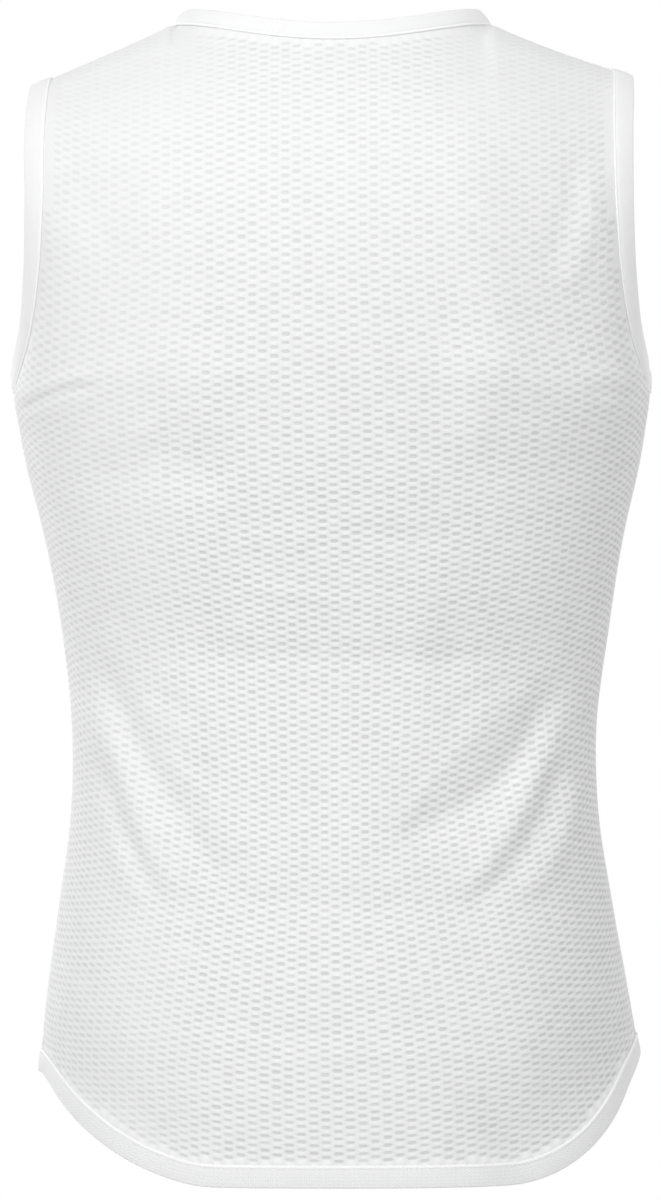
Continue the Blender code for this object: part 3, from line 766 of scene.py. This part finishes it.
def add_panel(face):
    chart_edge, body_edge = outline_of(charts[face]), outline_of(worn[face])
    places, relief, painted_tone, floor_shade_tone, floors, bars = net_of_eyelets(face, chart_edge)
    points, out = place_on_body(face, places)
    depth = eyelet_depth(points)
    points += out * (relief * depth)[:, None]
    exact = {tuple(np.round(p, 4)): q for p, q in zip(chart_edge, body_edge)}
    for k in range(len(places) - len(chart_edge), len(places)):
        points[k] = exact.get(tuple(np.round(places[k], 4)), points[k])
    faces = floors + bars
    if face == "back":
        faces = [f[::-1] for f in faces]
    panel = make_piece(face + "_mesh_cloth", points, faces, net_yarn, chart=places)
    corners = corner_points(panel.data)
    # Painted shade on each corner, the floors greyest, weaker where the eyelets are shallow
    painted_shading = painted_tone[corners]
    painted_shading[: 6 * len(floors)] = np.repeat(floor_shade_tone, 6)
    painted_shading = MEAN_SHADE_TONE + (painted_shading - MEAN_SHADE_TONE) * depth[corners]
    panel.data.attributes.new("painted_shading", "FLOAT", "CORNER").data.foreach_set("value", painted_shading.astype(np.float32))
    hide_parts(face + "_panel")
    return panel


panels = {face: add_panel(face) for face in grids}

# %% [markdown]
# ## Bindings and hem
#
# Each binding is a narrow strip of smooth knit, folded over the panel's raw edge and stitched through. So it
# is built as it is sewn: a strip that starts on the outside just over the edge of the net, runs out to the
# fold, turns round it and comes back inside. Its two long edges stay open and are hidden by the seam. The
# neck binding leans in towards the neck, because a worn binding is stretched and stands up.

# %% Loops of seam
NECK_WIDTH, ARMHOLE_WIDTH, HEM_WIDTH = 10.0, 11.5, 11.5
NECK_CLEARANCE, SIDE_NECK_FOCUS, ARMHOLE_CLEARANCE = 0.8, 20, 0.15
NECK_LEAN_BACK, NECK_LEAN_SIDE, NECK_LEAN_FRONT = 0.30, 0.86, 0.46
STRIP_HALF, LIP, TURN_STEPS, STRIP_STEPS = 0.95, 1.2, 6, 9
OUTER_EDGE, INNER_EDGE, LIP_STEP, LIP_RISE = -0.25, -0.42, 0.6, 1.6
Loop = namedtuple("Loop", "seam facing away lean clearance width")


def loop_direction(loop):
    return unit(np.roll(loop, -1, axis=0) - np.roll(loop, 1, axis=0))


def eased(vectors, times=2):
    for _ in range(times * DENSITY**2):
        vectors = unit(np.roll(vectors, 1, axis=0) + 2.0 * vectors + np.roll(vectors, -1, axis=0))
    return vectors


def seam_loop(back, front, rows, columns):
    """The points of a closed seam that runs along the back panel and returns along the front."""
    return np.concatenate([back[rows, columns], front[rows, columns][::-1][1:-1]])


def seam_and_facing(rows, columns):
    seam = seam_loop(worn["back"], worn["front"], rows, columns)
    return seam, seam_loop(outward["back"], outward["front"], rows, columns)


def neck_loop():
    start = (HALF_COLUMNS - NECK_COLUMNS) * DENSITY
    seam, facing = seam_and_facing(-1, slice(start, start + 2 * NECK_COLUMNS * DENSITY + 1))
    blended = eased(facing, 1)
    count = len(seam)
    turn = np.arange(count) / count * 2.0 * math.pi - 0.5 * math.pi
    near_corner = (np.sin(turn) ** SIDE_NECK_FOCUS)[:, None]
    facing = unit(facing + (blended - facing) * near_corner)
    inward = -seam * np.array([1.0, 1.0, 0.0])
    face_lean = np.where(np.cos(turn) >= 0.0, NECK_LEAN_BACK, NECK_LEAN_FRONT)
    lean = face_lean + (NECK_LEAN_SIDE - face_lean) * np.sin(turn) ** 2
    lean_to = eased(unit(unit(inward) * lean[:, None] + np.array([0.0, 0.0, 1.0])), 2)
    away = eased(unit(np.cross(loop_direction(seam), facing)), 1)
    return Loop(seam, facing, away, lean_to, NECK_CLEARANCE * near_corner, NECK_WIDTH)


def armhole_loop(column):
    seam, facing = seam_and_facing(slice(SIDE_INTERVALS * DENSITY, None), column)
    facing = eased(facing)
    away = eased(unit(np.cross(facing, loop_direction(seam))) * (-1.0 if column == 0 else 1.0))
    return Loop(seam, facing, away, eased(away), ARMHOLE_CLEARANCE, ARMHOLE_WIDTH)


def hem_loop():
    seam, facing = seam_and_facing(0, slice(None))
    away = unit(np.cross(facing, loop_direction(seam)))
    return Loop(seam, facing, away, eased(away), 0.0, HEM_WIDTH)


loops = {
    "neck_binding": neck_loop(),
    "armhole_binding_left": armhole_loop(-1),
    "armhole_binding_right": armhole_loop(0),
    "hem_band": hem_loop(),
}


def round_the(loop):
    """The length of a closed loop, in metres."""
    return float(np.linalg.norm(loop - np.roll(loop, 1, axis=0), axis=1).sum()) * MM


for name, loop in loops.items():
    print(name, "seam is", round(round_the(loop.seam), 3), "m round")


# %% Strips folded over the edges
def strip_surface(loop):
    """Rings of points from the seam to the free edge, and the way out at each, on the middle of the strip."""
    ring = loop.seam + loop.away * (SEAM_GAP + loop.clearance)
    rings = [loop.seam, ring]
    for k in range(STRIP_STEPS):
        bend = np.interp((k + 0.5) / STRIP_STEPS, (1 / 6, 0.5, 5 / 6), BAND_BENDS)
        ring = ring + unit(loop.away + (loop.lean - loop.away) * bend) * loop.width / STRIP_STEPS
        rings.append(ring)
    rings = np.array(rings)
    across = unit(np.gradient(rings, axis=0))
    along = np.array([loop_direction(r) for r in rings])
    out = unit(np.cross(across, along))
    out *= np.sign((out * loop.facing).sum(axis=2).mean())
    share = np.linspace(0.0, 1.0, len(rings))[:, None, None]
    return rings + out * BAND_CROWN * np.sin(math.pi * share), out


def strip_profile(width):
    """The folded strip seen end on: how far from the seam and how far out, from its outer to its inner edge."""
    fold = width + SEAM_GAP - STRIP_HALF
    flats = np.concatenate([[-LIP, -LIP_STEP * LIP, 0.0], np.linspace(0.0, fold, STRIP_STEPS + 1)[1:]])
    risen = smooth((flats + LIP) / (LIP_RISE * LIP))
    outer = STRIP_HALF * (OUTER_EDGE + (1.0 - OUTER_EDGE) * risen)
    inner = STRIP_HALF * (INNER_EDGE + (-1.0 - INNER_EDGE) * risen)
    turn = np.linspace(0.5 * math.pi, -0.5 * math.pi, TURN_STEPS + 2)[1:-1]
    far = np.concatenate([flats, fold + STRIP_HALF * np.cos(turn), flats[::-1]])
    out = np.concatenate([outer, STRIP_HALF * np.sin(turn), inner[::-1]])
    return far, out


def add_strip(name, loop, material):
    rings, facing = strip_surface(loop)
    far, out = strip_profile(loop.width)
    reach = np.concatenate([[0.0], np.linspace(SEAM_GAP, SEAM_GAP + loop.width, STRIP_STEPS + 1)])
    points = []
    for w, h in zip(far, out):
        if w < 0.0:
            points.append(loop.seam + loop.away * w + facing[0] * h)
            continue
        k = min(int(np.searchsorted(reach, w, side="right")) - 1, len(reach) - 2)
        t = (w - reach[k]) / (reach[k + 1] - reach[k])
        point = rings[k] + (rings[k + 1] - rings[k]) * t
        points.append(point + unit(facing[k] + (facing[k + 1] - facing[k]) * t) * h)
    points = np.array(points)
    count = points.shape[1]
    index = np.arange(points.shape[0] * count).reshape(points.shape[:2])
    right = np.roll(index, -1, axis=1)
    faces = np.stack([index[:-1], right[:-1], right[1:], index[1:]], axis=2).reshape(-1, 4)
    length = np.concatenate([[0.0], np.cumsum(np.linalg.norm(np.diff(loop.seam, axis=0), axis=1))])
    whole = round_the(loop.seam) / MM
    deep = np.concatenate([[0.0], np.cumsum(np.linalg.norm(np.diff(points, axis=0), axis=2).mean(axis=1))])
    start = np.broadcast_to(length, points.shape[:2])[:-1]
    end = np.broadcast_to(np.append(length[1:], whole), points.shape[:2])[:-1]
    low, high = (np.broadcast_to(d[:, None], start.shape) for d in (deep[:-1], deep[1:]))
    corner_chart = np.stack([start, low, end, low, end, high, start, high], axis=2).reshape(-1, 2)
    flip = (np.cross(points[0, 1] - points[0, 0], points[1, 0] - points[0, 0]) @ facing[0, 0]) < 0
    if flip:
        faces = faces[:, ::-1]
        corner_chart = corner_chart.reshape(-1, 4, 2)[:, ::-1].reshape(-1, 2)
    piece = make_piece(name + "_cloth", points.reshape(-1, 3), faces.tolist(), material, corner_chart=corner_chart)
    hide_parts(name)


for name, loop in loops.items():
    add_strip(name, loop, hem_yarn if name == "hem_band" else smooth_yarn)

# %% [markdown]
# ## Raised seams
#
# Where two cloths are sewn edge to edge, the stitches pull up a narrow ridge. It shows best above the hem
# band, as a bright cord. A bump in a material would vanish at the outline, so each seam is a thin rope of
# stitches that follows the sewing line, with a small swelling for each stitch.

# %% Ropes of stitches
Seam = namedtuple("Seam", "half_width half_height stitch swing")
HEM_SEAM = Seam(1.15, 0.85, 2.6, 0.05)
BINDING_SEAM = Seam(0.8, 0.55, 2.2, 0.08)
FLAT_SEAM = Seam(1.7, 0.55, 2.0, 0.45)
JOIN_SEAM, NECK_JOIN_X = Seam(0.5, 0.28, 1.4, 0.0), 29.0
ROPE_SIDES, STITCH_SWELL, STEPS_A_STITCH = 8, 0.14, 4.0
HEM_RAISE, BINDING_RAISE = 0.75, 0.55


def even_steps(path, values, step, closed):
    """The path and what goes with it, again at even steps."""
    if closed:
        path, values = np.vstack([path, path[:1]]), np.vstack([values, values[:1]])
    length = np.concatenate([[0.0], np.cumsum(np.linalg.norm(np.diff(path, axis=0), axis=1))])
    count = max(int(round(length[-1] / step)), 4)
    at = np.linspace(0.0, length[-1], count + 1)
    if closed:
        at = at[:-1]
    both = np.hstack([path, values])
    found = np.stack([np.interp(at, length, both[:, k]) for k in range(both.shape[1])], axis=1)
    return at, found[:, :3], unit(found[:, 3:])


def add_rope(name, path, facing, seam, closed, raise_by=0.0):
    at, line, out = even_steps(path, facing, seam.stitch / STEPS_A_STITCH, closed)
    along = loop_direction(line) if closed else unit(np.gradient(line, axis=0))
    side = unit(np.cross(along, out))
    phase = 2.0 * math.pi * at / seam.stitch
    swell = 1.0 + STITCH_SWELL * np.cos(phase)
    line = line + side * (seam.swing * np.sin(0.5 * phase))[:, None] + out * raise_by
    angle = 2.0 * math.pi * np.arange(ROPE_SIDES) / ROPE_SIDES
    wide = side[:, None] * (seam.half_width * np.cos(angle))[None, :, None]
    tall = out[:, None] * (seam.half_height * np.sin(angle))[None, :, None]
    rings = line[:, None] + (wide + tall) * swell[:, None, None]
    count = len(rings)
    index = np.arange(count * ROPE_SIDES).reshape(count, ROPE_SIDES)
    ahead = np.roll(index, -1, axis=0) if closed else index[1:]
    here = index if closed else index[:-1]
    faces = np.stack([here, np.roll(here, -1, axis=1), np.roll(ahead, -1, axis=1), ahead], axis=2).reshape(-1, 4)
    faces = faces[:, ::-1].tolist()
    if not closed:
        faces += [index[0].tolist(), index[-1][::-1].tolist()]
    rope = make_piece(name, rings.reshape(-1, 3), faces, sewing_thread)
    print(name, round(float(at[-1]) * MM, 3), "m,", int(at[-1] / seam.stitch), "stitches")
    return rope


def strip_join(loop, x):
    """A line across the back of a folded strip where its two ends are sewn together, and the way out there."""
    rings, out = strip_surface(loop)
    back = np.flatnonzero(loop.seam[:, 1] > 0.0)
    at = back[np.argmin(np.abs(loop.seam[back, 0] - x))]
    return rings[1:, at] + out[1:, at] * STRIP_HALF, out[1:, at]


ropes = [
    add_rope("neck_join", *strip_join(loops["neck_binding"], NECK_JOIN_X), JOIN_SEAM, False),
    add_rope("hem_seam", loops["hem_band"].seam, loops["hem_band"].facing, HEM_SEAM, True, HEM_RAISE),
    add_rope(
        "neck_seam", loops["neck_binding"].seam, loops["neck_binding"].facing, BINDING_SEAM, True, BINDING_RAISE
    ),
]


def between_faces(rows, columns):
    """The way out along a seam that joins the two panels."""
    return unit(outward["back"][rows, columns] + outward["front"][rows, columns])


for side in ("left", "right"):
    loop = loops["armhole_binding_" + side]
    ropes.append(add_rope("armhole_seam_" + side, loop.seam, loop.facing, BINDING_SEAM, True, BINDING_RAISE))
    column = -1 if side == "left" else 0
    body = slice(0, SIDE_INTERVALS * DENSITY + 1)
    path = worn["back"][body, column]
    ropes.append(add_rope("side_seam_" + side, path, between_faces(body, column), FLAT_SEAM, False))
    shoulder = slice((HALF_COLUMNS + NECK_COLUMNS) * DENSITY, None)
    if side == "right":
        shoulder = slice(0, (HALF_COLUMNS - NECK_COLUMNS) * DENSITY + 1)
    path = worn["back"][-1, shoulder]
    ropes.append(add_rope("shoulder_seam_" + side, path, between_faces(-1, shoulder), FLAT_SEAM, False))

# %% [markdown]
# ## Light, floor and background
#
# The picture is a plain studio shot on pure white. Soft light comes from every side, a little stronger from
# the upper left, so the upper back is brightest and the lower right side is dimmest. A white world does most
# of it, and a ring of large area lights adds the slope. The two behind the garment keep its outline bright.
# The background is seen by the camera alone, so it can be pure white without washing the cloth out. The
# floor lies below the hem, just out of the picture.

# %% World and floor
scene.view_settings.view_transform = "Standard"
WORLD_LIGHT = 0.58
world = bpy.data.worlds.new("studio")
scene.world = world
world.use_nodes = True
nodes, links = world.node_tree.nodes, world.node_tree.links
backdrop = nodes["Background"]
backdrop.inputs["Color"].default_value = (1.0, 1.0, 1.0, 1.0)
ray = nodes.new("ShaderNodeLightPath")
links.new(add_math(nodes, links, "MULTIPLY_ADD", ray.outputs["Is Camera Ray"], 1.0 - WORLD_LIGHT, WORLD_LIGHT),
          backdrop.inputs["Strength"])

FLOOR_HALF, FLOOR_Z = 0.45, -0.8
floor_mesh = bpy.data.meshes.new("floor")
floor_corners = [(x * FLOOR_HALF, y * FLOOR_HALF, FLOOR_Z) for x, y in ((-1, -1), (1, -1), (1, 1), (-1, 1))]
floor_mesh.from_pydata(floor_corners, [], [(0, 1, 2, 3)])
floor = bpy.data.objects.new("floor", floor_mesh)
scene.collection.objects.link(floor)
paint = bpy.data.materials.new("pale floor")
paint.use_nodes = True
paint_shader = paint.node_tree.nodes["Principled BSDF"]
paint_shader.inputs["Base Color"].default_value = (0.86, 0.86, 0.86, 1.0)
paint_shader.inputs["Roughness"].default_value = 0.9
floor_mesh.materials.append(paint)
print("floor at", FLOOR_Z, "m")


# %% Lights
def area_light(name, place, aim, size, watts):
    data = bpy.data.lights.new(name, "AREA")
    data.size = size
    data.energy = watts
    light = bpy.data.objects.new(name, data)
    light.location = place
    light.rotation_euler = (Vector(aim) - Vector(place)).to_track_quat("-Z", "Y").to_euler()
    scene.collection.objects.link(light)
    return light


MIDDLE, LIGHT_DISTANCE, LIGHT_SIZE = Vector((0.0, 0.05, -0.3)), 2.8, 1.3
for name, turn, height, watts in (
    ("key light", 35, 40, 26.0),
    ("second key", -35, 40, 15.5),
    ("camera side fill", 20, 10, 6.5),
    ("far side fill", 100, 10, 3.5),
    ("low fill", 0, -35, 10.5),
    ("left rim light", 142, 10, 23.0),
    ("right rim light", -142, 10, 14.0),
):
    turn, height = math.radians(turn), math.radians(height)
    way = Vector((math.sin(turn) * math.cos(height), math.cos(turn) * math.cos(height), math.sin(height)))
    area_light(name, MIDDLE + LIGHT_DISTANCE * way, MIDDLE, LIGHT_SIZE, watts)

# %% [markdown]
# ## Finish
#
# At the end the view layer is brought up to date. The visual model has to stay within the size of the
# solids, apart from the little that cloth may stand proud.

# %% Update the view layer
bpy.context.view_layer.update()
